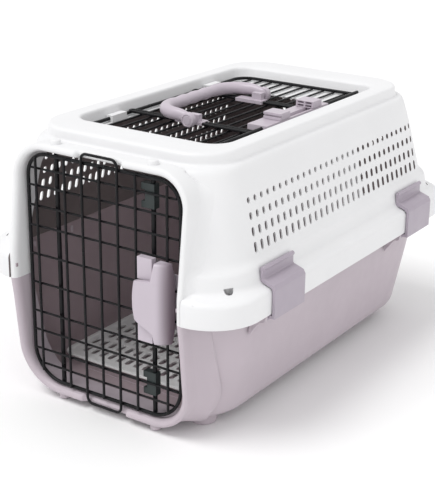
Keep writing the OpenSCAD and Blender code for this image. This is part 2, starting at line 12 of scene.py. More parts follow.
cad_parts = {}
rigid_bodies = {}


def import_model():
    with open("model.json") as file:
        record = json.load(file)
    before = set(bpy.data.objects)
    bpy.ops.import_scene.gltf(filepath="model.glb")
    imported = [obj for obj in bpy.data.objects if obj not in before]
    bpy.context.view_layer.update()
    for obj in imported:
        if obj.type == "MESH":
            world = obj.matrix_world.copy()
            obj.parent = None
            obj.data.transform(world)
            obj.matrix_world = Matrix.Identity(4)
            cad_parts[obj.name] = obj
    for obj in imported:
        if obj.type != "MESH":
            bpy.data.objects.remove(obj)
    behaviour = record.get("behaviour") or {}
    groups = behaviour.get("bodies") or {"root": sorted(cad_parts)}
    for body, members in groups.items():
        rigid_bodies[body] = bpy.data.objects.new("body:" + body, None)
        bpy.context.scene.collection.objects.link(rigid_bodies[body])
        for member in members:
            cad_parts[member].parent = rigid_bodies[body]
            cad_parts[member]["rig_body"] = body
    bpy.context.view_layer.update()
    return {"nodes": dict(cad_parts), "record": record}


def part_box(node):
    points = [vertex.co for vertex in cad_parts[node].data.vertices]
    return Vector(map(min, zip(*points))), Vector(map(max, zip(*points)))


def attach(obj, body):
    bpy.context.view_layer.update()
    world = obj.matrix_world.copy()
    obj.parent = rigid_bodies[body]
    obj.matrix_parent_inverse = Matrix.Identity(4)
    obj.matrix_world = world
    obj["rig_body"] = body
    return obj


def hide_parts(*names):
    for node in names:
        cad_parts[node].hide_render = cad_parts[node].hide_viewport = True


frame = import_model()

MM = 0.001


def cad(node):
    """Lowest and highest corner of a CAD node, in millimetres."""
    low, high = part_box(node)
    return np.array(low) / MM, np.array(high) / MM


# ---------------------------------------------------------------- main sizes, from the frame
shell_low, shell_high = cad("upper_shell")
base_high = cad("lower_shell")[1]
collar_high = cad("upper_collar")[1]
sill_low = cad("lower_collar")[0]
cover_low, cover_high = cad("door_latch_cover")
hinge_low, hinge_high = cad("door_hinge_rod")
handle_low, handle_high = cad("carry_handle")
pin_low, pin_high = cad("handle_pivot_pins")

RIM_X, RIM_Y = shell_high[0], shell_high[1]          # half width and half length over the rim
TOP_Z = shell_high[2]
SKIRT_Z = shell_low[2]
PART_Z = base_high[2]
FOOT_Z = 14.0
WALL = 3.0
COLLAR_W = 9.0
DOOR_X = collar_high[0] - COLLAR_W                   # half width of the doorway
DOOR_LOW = sill_low[2] + 16.2
DOOR_LOW_R, DOOR_HIGH_R = 42.0, 30.0
DOOR_HIGH = DOOR_LOW + 268.0
ROD_X = -(hinge_low[0] + hinge_high[0]) / 2
ROD_Y = (hinge_low[1] + hinge_high[1]) / 2
BOLT_X, BOLT_Y, BOLT_Z = RIM_X - 25.5, RIM_Y - 38, PART_Z + 9
NOTCH_HALF = 29.0
NOTCH_Y = 241.6
FOOT_X, FOOT_Y = 92, 188                             # middle of a foot
LUG_Y = (119.45, 184.55)                             # middles of a clip's two lugs
PAIR_SPAN, PAIR_GAP, PAIR_R = 126.0, 3.2, 1.75       # the top door's pairs of cross wires
VENT_ROWS = ((48, 11.5), (64, 10.0), (80, 8.2), (96, 6.6))   # height over the parting face, length
VENT_PITCH, VENT_W, VENT_COUNT = 12.2, 5.0, 31


# ---------------------------------------------------------------- meshes
def quads(rows, cols, ring=True, loop=False):
    """Faces of a grid: corner (i, j) joins (i, j+1), (i+1, j+1) and (i+1, j). ring closes each row on
    itself, loop joins the last row to the first."""
    i = np.arange(rows if loop else rows - 1)[:, None]
    j = np.arange(cols if ring else cols - 1)[None, :]
    i2, j2 = (i + 1) % rows, (j + 1) % cols
    return np.stack([i * cols + j, i * cols + j2, i2 * cols + j2, i2 * cols + j], -1).reshape(-1, 4)


def put(name, points, faces):
    """A new object from points in millimetres; doubles are merged and the faces turned outwards."""
    mesh = bpy.data.meshes.new(name)
    mesh.from_pydata((np.asarray(points, float).reshape(-1, 3) * MM).tolist(), [],
                     [[int(k) for k in face] for face in faces])
    piece = bpy.data.objects.new(name, mesh)
    bpy.context.scene.collection.objects.link(piece)
    merge(piece, 2e-6)
    return piece


def merge(piece, distance, outward=True):
    """Merges the points that lie together and turns the faces outwards."""
    work = bmesh.new()
    work.from_mesh(piece.data)
    bmesh.ops.remove_doubles(work, verts=work.verts, dist=distance)
    if outward:
        bmesh.ops.recalc_face_normals(work, faces=work.faces)
    work.to_mesh(piece.data)
    work.free()


def smooth(piece, angle=35):
    """Smooth shading with sharp edges where two faces meet at more than the angle."""
    piece.data.shade_smooth()
    piece.data.set_sharp_from_angle(angle=math.radians(angle))


def join(name, pieces):
    """One object out of several, kept as they are."""
    points, faces, start = [], [], 0
    for piece in pieces:
        count = len(piece.data.vertices)
        flat = np.empty(count * 3)
        piece.data.vertices.foreach_get("co", flat)
        points.append(flat.reshape(-1, 3) / MM)
        faces += [[k + start for k in face.vertices] for face in piece.data.polygons]
        start += count
        bpy.data.objects.remove(piece)
    return put(name, np.vstack(points), faces)


def carve(piece, cutter, operation="DIFFERENCE"):
    """Takes the cutter out of the piece, or adds it, and removes the cutter."""
    change = piece.modifiers.new("carve", "BOOLEAN")
    change.operation = operation
    change.solver = "MANIFOLD"
    change.object = cutter
    bpy.context.view_layer.update()
    done = piece.evaluated_get(bpy.context.evaluated_depsgraph_get())
    mesh = bpy.data.meshes.new_from_object(done)
    piece.modifiers.clear()
    piece.data = mesh
    bpy.data.objects.remove(cutter)


def outline(stations, arc, side):
    """Rows of points round rectangles with round corners. A station is half width hx, half length hy,
    corner radius r, height z and centre cy. Corner k is (+-(hx-r) + r cos t, cy +- (hy-r) + r sin t)
    for t over its quarter turn, and the straight sides between corners are divided evenly."""
    hx, hy, r, z, cy = (np.asarray(stations, float)[:, k, None] for k in range(5))
    quarter = np.linspace(0, np.pi / 2, arc + 1)[None, :]
    corners = []
    for k, (sx, sy) in enumerate(((1, 1), (-1, 1), (-1, -1), (1, -1))):
        turn = quarter + k * np.pi / 2
        corners.append((sx * (hx - r) + r * np.cos(turn), cy + sy * (hy - r) + r * np.sin(turn)))
    part = np.linspace(0, 1, side + 1)[None, 1:-1]
    xs, ys = [], []
    for k in range(4):
        (x, y), (nx, ny) = corners[k], corners[(k + 1) % 4]
        xs += [x, x[:, -1:] + (nx[:, :1] - x[:, -1:]) * part]
        ys += [y, y[:, -1:] + (ny[:, :1] - y[:, -1:]) * part]
    x, y = np.hstack(xs), np.hstack(ys)
    return np.stack([x, y, np.broadcast_to(z, x.shape)], -1)


def rounded(control, closed, step=12.0, bend=5):
    """Stations along a control polygon of (hx, hy, r, z, cy, fillet). A corner p becomes the curve
    (1-t)^2 a + 2t(1-t) p + t^2 b, where a and b lie one fillet before and after it, and a long
    straight run gets a station every step."""
    points = np.array([row[:5] for row in control], float)
    count = len(points)

    def run(a, b):
        d = b - a
        return math.sqrt((d[0] ** 2 + d[1] ** 2) / 2 + d[3] ** 2)

    bent = []
    for i, row in enumerate(control):
        here, before, after = points[i], points[i - 1], points[(i + 1) % count]
        if row[5] > 0 and (closed or 0 < i < count - 1):
            back, ahead = run(before, here), run(here, after)
            a = here + (before - here) * min(row[5], 0.45 * back) / back
            b = here + (after - here) * min(row[5], 0.45 * ahead) / ahead
            t = np.linspace(0, 1, bend + 1)[:, None]
            bent += list((1 - t) ** 2 * a + 2 * t * (1 - t) * here + t * t * b)
        else:
            bent.append(here)
    stations = []
    for i in range(len(bent) if closed else len(bent) - 1):
        a, b = bent[i], bent[(i + 1) % len(bent)]
        parts = max(1, int(run(a, b) // step))
        stations += [a + (b - a) * k / parts for k in range(parts)]
    if not closed:
        stations.append(bent[-1])
    return np.array(stations)


def loft(name, stations, closed, arc=20, side=10):
    """A surface through the outlines of the stations; an open one gets a flat face at each end."""
    grid = outline(stations, arc, side)
    rows, cols = grid.shape[:2]
    faces = quads(rows, cols, True, closed).tolist()
    if not closed:
        faces += [list(range(cols)), list(range((rows - 1) * cols, rows * cols))]
    return put(name, grid, faces)


def prisms(name, centres, shapes, low, high, axis):
    """Straight prisms: each outline, moved to its centre, is carried from low to high along an axis.
    The outline's two coordinates are the other two axes, in their order."""
    flat = np.asarray(centres, float).reshape(-1, 1, 2) + np.asarray(shapes, float)
    count, corners = flat.shape[:2]
    across = [k for k in range(3) if k != "xyz".index(axis)]
    points = np.empty((count, 2, corners, 3))
    points[..., across[0]] = flat[:, None, :, 0]
    points[..., across[1]] = flat[:, None, :, 1]
    points[:, 0, :, "xyz".index(axis)] = low
    points[:, 1, :, "xyz".index(axis)] = high
    faces = []
    for k in range(count):
        start = k * 2 * corners
        faces += (quads(2, corners) + start).tolist()
        faces += [list(range(start, start + corners)), list(range(start + corners, start + 2 * corners))]
    return put(name, points, faces)


def stadium(width, length, arc=4):
    """Outline of a slot with round ends: two half circles of the slot's width, length apart over all."""
    t = np.linspace(0, np.pi, arc + 1)
    r, h = width / 2, max(length - width, 0) / 2
    return np.vstack([np.stack([r * np.cos(t), h + r * np.sin(t)], -1),
                      np.stack([-r * np.cos(t), -h - r * np.sin(t)], -1)])


def lathe(name, profile, place, axis="z", turns=40):
    """A turned piece: profile rows (radius, height) spun round an axis through place. The end rows
    lie on the axis, so the piece is closed."""
    profile = np.asarray(profile, float)
    t = np.arange(turns) * 2 * np.pi / turns
    a = profile[:, :1] * np.cos(t)
    b = profile[:, :1] * np.sin(t)
    h = np.broadcast_to(profile[:, 1:], a.shape)
    layers = {"z": (a, b, h), "y": (a, h, b), "x": (h, a, b)}[axis]
    return put(name, np.stack(layers, -1) + np.asarray(place, float), quads(len(profile), turns))


def sweep(name, path, wide, tall, turns=28):
    """A bar along a path that stays nearly level: point = path + wide cos(a) side + tall sin(a) up,
    where side is level and square to the path. Its ends are closed with a flat face."""
    path, wide, tall = (np.asarray(v, float) for v in (path, wide, tall))
    along = np.gradient(path, axis=0)
    along /= np.linalg.norm(along, axis=1, keepdims=True)
    side = np.cross(along, [0, 0, 1.0])
    side /= np.linalg.norm(side, axis=1, keepdims=True)
    up = np.cross(side, along)
    a = (np.arange(turns) * 2 * np.pi / turns)[None, :, None]
    grid = path[:, None] + wide[:, None, None] * np.cos(a) * side[:, None] \
        + tall[:, None, None] * np.sin(a) * up[:, None]
    faces = quads(len(path), turns).tolist()
    last = (len(path) - 1) * turns
    faces += [list(range(turns)), list(range(last, last + turns))]
    return put(name, grid, faces)


def ease(x, low, high):
    """0 below low, 1 above high and 3s^2 - 2s^3 between."""
    s = np.clip((np.asarray(x, float) - low) / (high - low), 0, 1)
    return s * s * (3 - 2 * s)


# ---------------------------------------------------------------- finishes
def nodes_of(name):
    material = bpy.data.materials.new(name)
    material.use_nodes = True
    tree = material.node_tree
    shader = tree.nodes["Principled BSDF"]
    where = tree.nodes.new("ShaderNodeTexCoord")
    return material, tree, shader, where


def noise(tree, where, scale, detail=3.0):
    node = tree.nodes.new("ShaderNodeTexNoise")
    node.inputs["Scale"].default_value = scale
    node.inputs["Detail"].default_value = detail
    tree.links.new(where.outputs["Object"], node.inputs["Vector"])
    return node


def spread(tree, source, low, high, start=0.35, end=0.65):
    """Maps a pattern between two values."""
    node = tree.nodes.new("ShaderNodeMapRange")
    node.inputs["From Min"].default_value = start
    node.inputs["From Max"].default_value = end
    node.inputs["To Min"].default_value = low
    node.inputs["To Max"].default_value = high
    tree.links.new(source, node.inputs["Value"])
    return node.outputs["Result"]


def tint(tree, shader, pattern, dark, light):
    """Base colour that drifts between two close colours with the pattern."""
    mix = tree.nodes.new("ShaderNodeMix")
    mix.data_type = "RGBA"
    mix.inputs["A"].default_value = (*dark, 1)
    mix.inputs["B"].default_value = (*light, 1)
    tree.links.new(pattern, mix.inputs["Factor"])
    tree.links.new(mix.outputs["Result"], shader.inputs["Base Color"])


def grain(tree, shader, height, strength, distance):
    bump = tree.nodes.new("ShaderNodeBump")
    bump.inputs["Strength"].default_value = strength
    bump.inputs["Distance"].default_value = distance
    tree.links.new(height, bump.inputs["Height"])
    tree.links.new(bump.outputs["Normal"], shader.inputs["Normal"])


def moulded(name, colour, rough, spark=900.0, depth=0.00004, drift=0.03, specular=0.45):
    """Injection moulded plastic: a fine spark grain, a slow drift of colour from the melt's flow, and
    handling scuffs that change the gloss in patches."""
    material, tree, shader, where = nodes_of(name)
    colour = np.array(colour)
    fine, slow, scuff = noise(tree, where, spark, 2), noise(tree, where, 14, 3), noise(tree, where, 70, 5)
    tint(tree, shader, spread(tree, slow.outputs["Fac"], 0, 1, 0.3, 0.7),
         colour * (1 - drift), np.minimum(colour * (1 + drift), 1))
    tree.links.new(spread(tree, scuff.outputs["Fac"], rough - 0.05, rough + 0.07), shader.inputs["Roughness"])
    shader.inputs["Specular IOR Level"].default_value = specular
    grain(tree, shader, fine.outputs["Fac"], 0.35, depth)
    return material


def dipped_wire(name):
    """Black coated wire: glossy, a little orange peel and thin dull patches."""
    material, tree, shader, where = nodes_of(name)
    peel, patch = noise(tree, where, 420, 2), noise(tree, where, 60, 4)
    tint(tree, shader, spread(tree, patch.outputs["Fac"], 0, 1), (0.003, 0.003, 0.004), (0.008, 0.008, 0.010))
    shader.inputs["Specular IOR Level"].default_value = 0.22
    tree.links.new(spread(tree, patch.outputs["Fac"], 0.26, 0.42), shader.inputs["Roughness"])
    grain(tree, shader, peel.outputs["Fac"], 0.3, 0.00006)
    return material


def zinc(name):
    """Bright zinc on steel: a fine noise grain in the bump, with dull spots."""
    material, tree, shader, where = nodes_of(name)
    shader.inputs["Metallic"].default_value = 1.0
    spots, lines = noise(tree, where, 240, 3), noise(tree, where, 1500, 2)
    tint(tree, shader, spread(tree, spots.outputs["Fac"], 0, 1), (0.50, 0.50, 0.52), (0.64, 0.64, 0.66))
    tree.links.new(spread(tree, spots.outputs["Fac"], 0.24, 0.4), shader.inputs["Roughness"])
    grain(tree, shader, lines.outputs["Fac"], 0.25, 0.00003)
    return material


white = moulded("white_shell_plastic", (0.80, 0.80, 0.81), 0.40, drift=0.012)
# Painted shade: the white half's inward faces take a dark brown in place of white, standing for the shadow
# inside the carrier.
white_inner_painted_shade = moulded("white_shell_painted_shade_inside", (0.19, 0.16, 0.16), 0.62, drift=0.06, specular=0.2)
lilac = moulded("lilac_shell_plastic", (0.52, 0.455, 0.50), 0.42, drift=0.025)
# Painted shade: the lilac half's inward faces and floor take a darker lilac, standing for the shadow inside
# the carrier.
lilac_inner_painted_shade = moulded("lilac_shell_painted_shade_inside", (0.40, 0.32, 0.345), 0.5, drift=0.05, specular=0.3)
clip_lilac = moulded("clip_plastic", (0.40, 0.35, 0.41), 0.36, drift=0.02)
latch_lilac = moulded("latch_plastic", (0.53, 0.47, 0.53), 0.33, drift=0.02, specular=0.5)
mat_grey = moulded("mat_plastic", (0.84, 0.875, 0.87), 0.5, spark=500, depth=0.00008, drift=0.05)
guide_dark = moulded("guide_plastic", (0.022, 0.03, 0.03), 0.5, drift=0.1)
wire = dipped_wire("black_wire_coat")
steel = zinc("zinc_plate")
FINISH = {"shell_white": white, "shell_lilac": lilac, "clip_lilac": clip_lilac, "latch_lilac": latch_lilac,
          "wire_black": wire, "fastener_steel": steel, "mat_grey": mat_grey, "guide_dark": guide_dark}


def curl_painted_shade(base):
    """The latch plastic, grading to a dark plum painted shade where the curl attribute nears 1: the shadow in
    the cover's back-turned curl is painted into its colour.
    """
    material = base.copy()
    material.name = "latch_cover_plastic_curl_shade"
    tree = material.node_tree
    shader = tree.nodes["Principled BSDF"]
    plain = shader.inputs["Base Color"].links[0].from_socket
    where = tree.nodes.new("ShaderNodeAttribute")
    where.attribute_name = "curl"
    mix = tree.nodes.new("ShaderNodeMix")
    mix.data_type = "RGBA"
    # Painted shade: dark plum that stands for the shadow in the curl.
    mix.inputs["B"].default_value = (0.16, 0.12, 0.145, 1)
    tree.links.new(where.outputs["Fac"], mix.inputs["Factor"])
    tree.links.new(plain, mix.inputs["A"])
    tree.links.new(mix.outputs["Result"], shader.inputs["Base Color"])
    return material


def paint(piece, material):
    piece.data.materials.clear()
    piece.data.materials.append(material)


def settle(piece, body, slot, *nodes):
    """Gives a piece its finish, its body and the CAD nodes that it stands for."""
    if not piece.data.materials:
        paint(piece, FINISH[slot])
    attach(piece, body)
    if nodes:
        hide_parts(*nodes)
    return piece


def skin(piece, outside, inside, is_inside):
    """Two colours on one moulding: is_inside(centre, normal) picks the faces that take the second, a painted
    shade for the shadow inside the carrier.
    """
    count = len(piece.data.polygons)
    centre, normal = np.empty(count * 3), np.empty(count * 3)
    piece.data.polygons.foreach_get("center", centre)
    piece.data.polygons.foreach_get("normal", normal)
    picked = is_inside(centre.reshape(-1, 3) / MM, normal.reshape(-1, 3))
    piece.data.materials.clear()
    piece.data.materials.append(outside)
    piece.data.materials.append(inside)
    piece.data.polygons.foreach_set("material_index", picked.astype(np.int32))


def inward(centre, normal):
    """How far a face looks towards the carrier's upright middle line, from -1 to 1."""
    flat = centre[:, :2] / np.array([RIM_X, RIM_Y])
    flat /= np.maximum(np.linalg.norm(flat, axis=1, keepdims=True), 1e-6)
    return -(flat * normal[:, :2]).sum(1)


# ---------------------------------------------------------------- the shells
def rim(dx, dy, dr, z, fillet=0.0, cy=0.0):
    """A control row measured inwards from the rim where the shells meet."""
    return (RIM_X - dx, RIM_Y - dy, 58 - dr, z, cy, fillet)


OUTER = [rim(0, 0, 0, SKIRT_Z, 1.2), rim(0, 0, 0, PART_Z + 9.5, 5), rim(14, 8, -3, PART_Z + 14.3, 5),
         rim(16.8, 9.7, -3, PART_Z + 32, 3), rim(23.4, 14.5, -2, PART_Z + 38.5, 5),
         rim(37, 28, 2, TOP_Z - 42, 12), rim(45, 36, 7, TOP_Z - 14.5, 7),
         rim(51.4, 47.4, 11.5, TOP_Z - 12.5, 3),
         rim(52, 48, 12, TOP_Z, 4.5)]
RECESS = [(98.6, 169.6, 24, TOP_Z, 0, 4), (95.5, 165, 20.5, TOP_Z - 16, 0, 2.5),
          (86.5, 131, 16, TOP_Z - 16, -19, 1), (86.5, 131, 16, TOP_Z - 19, -19, 1),
          (98.5, 168, 23.5, TOP_Z - 19, 0, 1), (101.4, 172.4, 26, TOP_Z - 3, 0, 1),
          (116, 211, 43, TOP_Z - 3, 0, 1)]
INNER = [(116.2, 211.4, 43, TOP_Z - 13, 0, 1), rim(48.5, 39.5, 10, TOP_Z - 17, 3),
         rim(38.9, 29.9, 4, TOP_Z - 42, 5),
         rim(25.3, 16.4, 0, PART_Z + 38.5), rim(22, 14, -1, PART_Z), rim(15, 7.5, -6, PART_Z),
         rim(15, 7.5, -6, PART_Z + 4.5), rim(3, 3, 3, PART_Z + 4.5), rim(3, 3, 3, SKIRT_Z)]


def doorway(grow, arc=14):
    """Outline of the doorway in x and z, grown all round: four quarter turns joined by straight sides."""
    t = np.linspace(0, np.pi / 2, arc + 1)
    w, low, high = DOOR_X + grow, DOOR_LOW - grow, DOOR_HIGH + grow
    top, bottom = DOOR_HIGH_R + grow, DOOR_LOW_R + grow
    right = np.stack([w - top + top * np.cos(t), high - top + top * np.sin(t)], -1)
    under = np.stack([w - bottom + bottom * np.sin(t), low + bottom - bottom * np.cos(t)], -1)
    flip = np.array([-1, 1])
    return np.vstack([right, right[::-1] * flip, under[::-1] * flip, under])


def doorway_prism(grow, back):
    return prisms("doorway_cutter", (0, 0), doorway(grow)[None], -RIM_Y - 20, back, "y")


def vent_cutter():
    """All the vent slots: through both side walls, and through the rear wall."""
    sides, rear = [], []
    for height, length in VENT_ROWS:
        y = 9 + (np.arange(VENT_COUNT) - (VENT_COUNT - 1) / 2) * VENT_PITCH
        x = np.arange(-6, 7) * VENT_PITCH
        slot = stadium(VENT_W, length)[None]
        z = PART_Z + height
        sides.append(prisms("vents", np.stack([y, np.full(len(y), z)], -1), slot, -RIM_X, RIM_X, "x"))
        rear.append(prisms("vents", np.stack([x, np.full(len(x), z)], -1), slot, RIM_Y - 60, RIM_Y, "y"))
    return sides + rear


def upper_shell():
    """The white half: one closed profile carried round the carrier, with the doorway, the vents and
    the four screw pockets taken out."""
    shell = loft("upper_shell_moulding", rounded(OUTER + RECESS + INNER, True), True, 22, 12)
    carve(shell, doorway_prism(0.8, -190))
    carve(shell, doorway_prism(COLLAR_W - 0.4, -RIM_Y + 11))
    for cutter in vent_cutter():
        carve(shell, cutter)
    t = np.arange(24) * np.pi / 12
    circle = 5.4 * np.stack([np.cos(t), np.sin(t)], -1)[None]
    corners = [(sx * BOLT_X, sy * BOLT_Y) for sx in (-1, 1) for sy in (-1, 1)]
    carve(shell, prisms("pockets", corners, circle, BOLT_Z, BOLT_Z + 11, "z"))
    # Painted shade: inward faces below the rim and downward faces high up take the dark brown shadow colour.
    skin(shell, white, white_inner_painted_shade, lambda c, n: ((inward(c, n) > 0.25) & (c[:, 2] < TOP_Z - 18))
         | ((n[:, 2] < -0.4) & (c[:, 2] > PART_Z + 40)))
    smooth(shell)
    return settle(shell, "carrier", "shell_white", "upper_shell")


def lower_shell():
    """The lilac half: one profile from the middle of the underside out, up, over the mating flange and
    down inside to the floor, with the doorway taken out, and the feet and clip lugs added."""
    z0 = FOOT_Z
    control = [(40, 145, 4, z0, 0, 0), rim(43, 30, -6, z0, 14), rim(19.4, 11.4, -12, PART_Z - 4, 2),
               rim(3.5, 3.5, 3.4, PART_Z - 4, 0.5), rim(3.5, 3.5, 3.4, PART_Z, 0.5),
               rim(22, 14, -9, PART_Z, 1),
               rim(45.5, 32.5, -3, z0 + WALL, 12), (40, 145, 4, z0 + WALL, 0, 0)]
    shell = loft("lower_shell_moulding", rounded(control, False), False, 22, 12)
    carve(shell, doorway_prism(0.6, -190))
    # Painted shade: inward faces above the underside and the upward floor inside take the darker lilac shadow
    # colour.
    skin(shell, lilac, lilac_inner_painted_shade, lambda c, n: ((inward(c, n) > 0.25) & (c[:, 2] > z0 + 2.5))
         | ((n[:, 2] > 0.5) & (c[:, 2] < PART_Z - 20)))
    smooth(shell)
    settle(shell, "carrier", "shell_lilac", "lower_shell")
    profile = [(0, 0), (12.2, 0), (14.2, 0.6), (15, 2.4), (15, z0 - 1), (16.5, z0 + 0.8), (0, z0 + 0.8)]
    feet = [lathe("foot", profile, (sx * FOOT_X, sy * FOOT_Y, 0)) for sx in (-1, 1) for sy in (-1, 1)]
    feet = join("moulded_feet", feet)
    smooth(feet)
    settle(feet, "carrier", "shell_lilac")
    axis_x, axis_z = RIM_X - 8, SKIRT_Z - 6
    side = np.array([(RIM_X - 24, PART_Z - 4), (RIM_X - 4, PART_Z - 4), (axis_x + 4.5, axis_z + 2),
                     (axis_x + 3.4, axis_z - 2.4), (axis_x + 1, axis_z - 4), (axis_x - 3, axis_z - 4.4),
                     (RIM_X - 24, axis_z - 22)])
    lugs = []
    for sx in (-1, 1):
        for sy in (-1, 1):
            for y in LUG_Y:
                lugs.append(prisms("lug", (0, 0), (side * (sx, 1))[None], sy * y - 2.2, sy * y + 2.2, "y"))
    lugs = join("clip_lugs", lugs)
    bevel(lugs, 0.8)
    settle(lugs, "carrier", "shell_lilac")


def bevel(piece, width, segments=2, angle=32):
    """Rounds the edges of a piece and shades it smooth."""
    change = piece.modifiers.new("soft_edges", "BEVEL")
    change.width = width * MM
    change.segments = segments
    change.limit_method = "ANGLE"
    change.angle_limit = math.radians(angle)
    change.use_clamp_overlap = True
    change.harden_normals = True
    smooth(piece, 40)


# Height against half width, half length and corner radius of the outer walls
WALL_UP = np.array([[row[3], *row[:3]] for row in OUTER])
WALL_DOWN = np.array([[FOOT_Z, *rim(43, 30, -6, 0)[:3]], [FOOT_Z + 10, *rim(36, 23, -10, 0)[:3]],
                      [PART_Z - 4, *rim(19.4, 11.4, -12, 0)[:3]]])


def wall_front(x, z, table):
    """How far in front of the middle the wall lies at x and height z: hy - r + sqrt(r^2 - over^2),
    where over is how far x is past the start of the round corner."""
    hx, hy, r = (np.interp(z, table[:, 0], table[:, k]) for k in (1, 2, 3))
    over = np.clip(np.abs(x) - (hx - r), 0, 0.97 * r)
    return hy - r + np.sqrt(r * r - over * over)


def half_doorway(end_z, radius, step=2.4):
    """Points of the doorway's outline from the skirt's height on the right, round one end, to the same
    height on the left, and the direction away from the opening at each."""
    s = 1 if end_z > SKIRT_Z else -1
    straight = abs(end_z - SKIRT_Z) - radius
    up = np.linspace(0, straight, int(straight / (2 * step)))[:-1]
    t = np.linspace(0, np.pi / 2, 26)
    across = np.linspace(DOOR_X - radius, 0, int((DOOR_X - radius) / step * 1.6))[1:]
    x = np.concatenate([np.full(len(up), DOOR_X), DOOR_X - radius + radius * np.cos(t), across])
    z = np.concatenate([SKIRT_Z + s * up, end_z - s * radius * (1 - np.sin(t)), np.full(len(across), end_z)])
    nx = np.concatenate([np.ones(len(up)), np.cos(t), np.zeros(len(across))])
    nz = np.concatenate([np.zeros(len(up)), s * np.sin(t), np.full(len(across), s)])
    flip = slice(-2, None, -1)
    return (np.concatenate([x, -x[flip]]), np.concatenate([z, z[flip]]),
            np.concatenate([nx, -nx[flip]]), np.concatenate([nz, nz[flip]]))


def collar(name, end_z, radius, table, low_z, high_z):
    """Half of the doorway's raised collar: one closed section carried along the doorway. The section
    goes from the jamb's back edge forward, round the lip, back along the outside, and runs out onto
    the wall in a hollow curve; the lip's depth and the wall's place follow the height."""
    x, z, nx, nz = (v[:, None] for v in half_doorway(end_z, radius))

    def at(offset):
        px, pz = x + nx * offset, z + nz * offset
        deep = np.interp(pz, [8, 120, 141, 167, 188, 294], [246, 257.6, 260.6, 260.6, 257.9, 246])
        notch = 1 - ease(np.abs(px), NOTCH_HALF - 2, NOTCH_HALF + 3)
        deep = deep - notch * np.abs(nz) ** 4 * np.maximum(deep - NOTCH_Y, 0)
        return px, pz, deep

    back = np.interp(z, [0, 37, 141, 188, 294], [212, 212, 236, 236, 203])
    lip = [(0, 9), (0.3, 6), (1.2, 3.2), (2.8, 1.1), (4.6, 0.15), (6.2, 0), (7.9, 0.5), (8.7, 1.5),
           (COLLAR_W, 3.2)]
    rows = [(x, z, back)]
    for offset, depth in lip:
        px, pz, deep = at(offset)
        rows.append((px, pz, deep - depth))
    px, pz, deep = at(COLLAR_W)
    near = wall_front(px, np.clip(pz, low_z, high_z), table)
    start = np.minimum(near + 9, deep - 3.6)
    upward = ease(nz, 0.15, 0.8)
    reach = COLLAR_W + 13 - 16.5 * upward
    fx, fz = x + nx * reach, np.clip(z + nz * reach, low_z, high_z)
    far = wall_front(fx, fz, table) - 0.5
    elbow = np.minimum(near + 0.6, start)
    for t in np.linspace(0, 1, 8):
        a, b, c = (1 - t) ** 2, 2 * t * (1 - t), t * t
        rows.append((a * px + b * (px + nx * (1 - upward)) + c * fx, a * pz + b * pz + c * fz,
                     a * start + b * elbow + c * far))
    rows.append((fx, fz, far - 3))
    rows.append((x + nx * 3, z + nz * 3, back - 1))
    grid = np.stack([np.hstack([r[0] for r in rows]), -np.hstack([r[2] for r in rows]),
                     np.hstack([r[1] for r in rows])], -1)
    count, cols = grid.shape[:2]
    faces = quads(count, cols).tolist() + [list(range(cols)), list(range((count - 1) * cols, count * cols))]
    piece = put(name, grid, faces)
    smooth(piece, 40)
    return piece


upper_shell()
lower_shell()
upper = collar("upper_collar_moulding", DOOR_HIGH, DOOR_HIGH_R, WALL_UP, SKIRT_Z, TOP_Z - 13.5)
settle(upper, "carrier", "shell_white", "upper_collar")
lower = collar("lower_collar_moulding", DOOR_LOW, DOOR_LOW_R, WALL_DOWN, FOOT_Z, PART_Z - 4)
settle(lower, "carrier", "shell_lilac", "lower_collar")

bosses, pegs = [], []
for side_x in (-ROD_X, ROD_X):
    top, bottom = collar_high[2], sill_low[2]
    bosses.append(lathe("boss", [(0, DOOR_HIGH + 2), (5.5, DOOR_HIGH + 2), (5.5, top - 2), (5.1, top - 0.8),
                                 (4.0, top), (0, top)], (side_x, ROD_Y, 0)))
    pegs.append(lathe("peg", [(0, bottom), (4.6, bottom), (5.6, bottom + 0.7), (6, bottom + 2),
                              (6, DOOR_LOW - 2),
                              (0, DOOR_LOW - 2)], (side_x, ROD_Y, 0)))
for made, slot in ((join("rod_bosses", bosses), "shell_white"), (join("rod_pegs", pegs), "shell_lilac")):
    smooth(made)
    settle(made, "carrier", slot)


